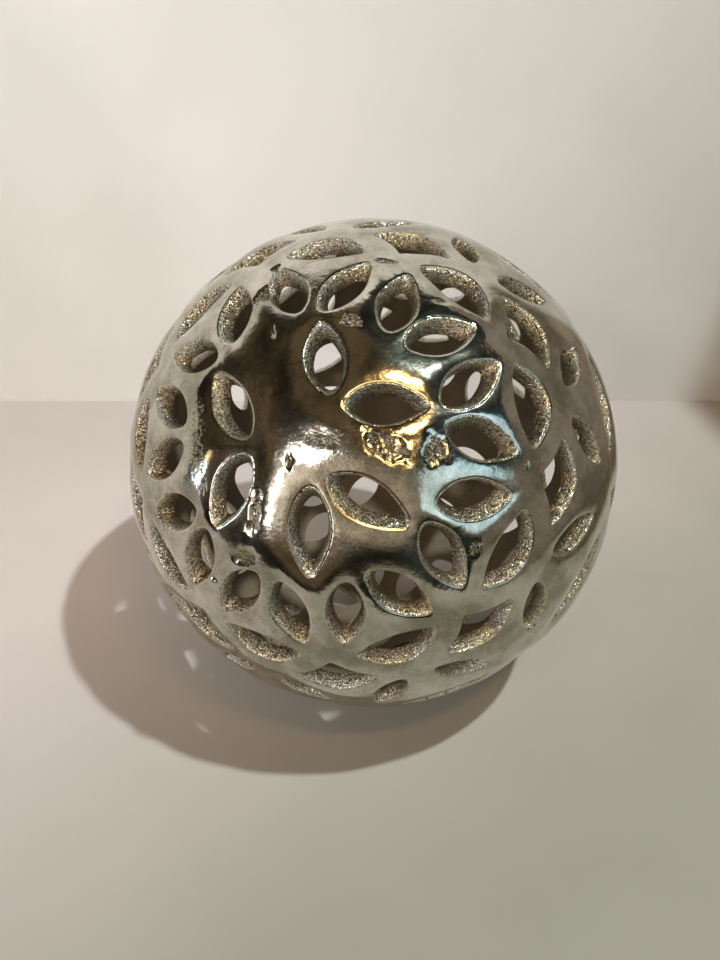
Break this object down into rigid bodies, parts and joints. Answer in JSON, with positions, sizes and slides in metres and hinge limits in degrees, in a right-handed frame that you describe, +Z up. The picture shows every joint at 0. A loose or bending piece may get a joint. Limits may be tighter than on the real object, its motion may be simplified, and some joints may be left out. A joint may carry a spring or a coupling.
{
  "type": "decorative sphere",
  "caption": "Hollow pierced ornament ball of cast aluminium, with leaf, scallop and diamond openings in rings about a central flower, polished outside and rough inside.",
  "frame": {"origin": "middle of the small flat spot that the ball rests on, at its lowest point", "axes": "+Z up, normal to the flat spot; the middle of the flower faces the front, -Y, about 34 degrees up and 17 degrees towards -X"},
  "size_m": [0.1499, 0.1499, 0.1494],
  "materials": {
    "cast_aluminium": "hand polished to a soft mirror outside with small casting flaws, rough sparkling sand-cast walls in the openings, dark matt skin inside"
  },
  "bodies": {
    "root": {"pierced_sphere": "cast_aluminium"}
  },
  "joints": []
}
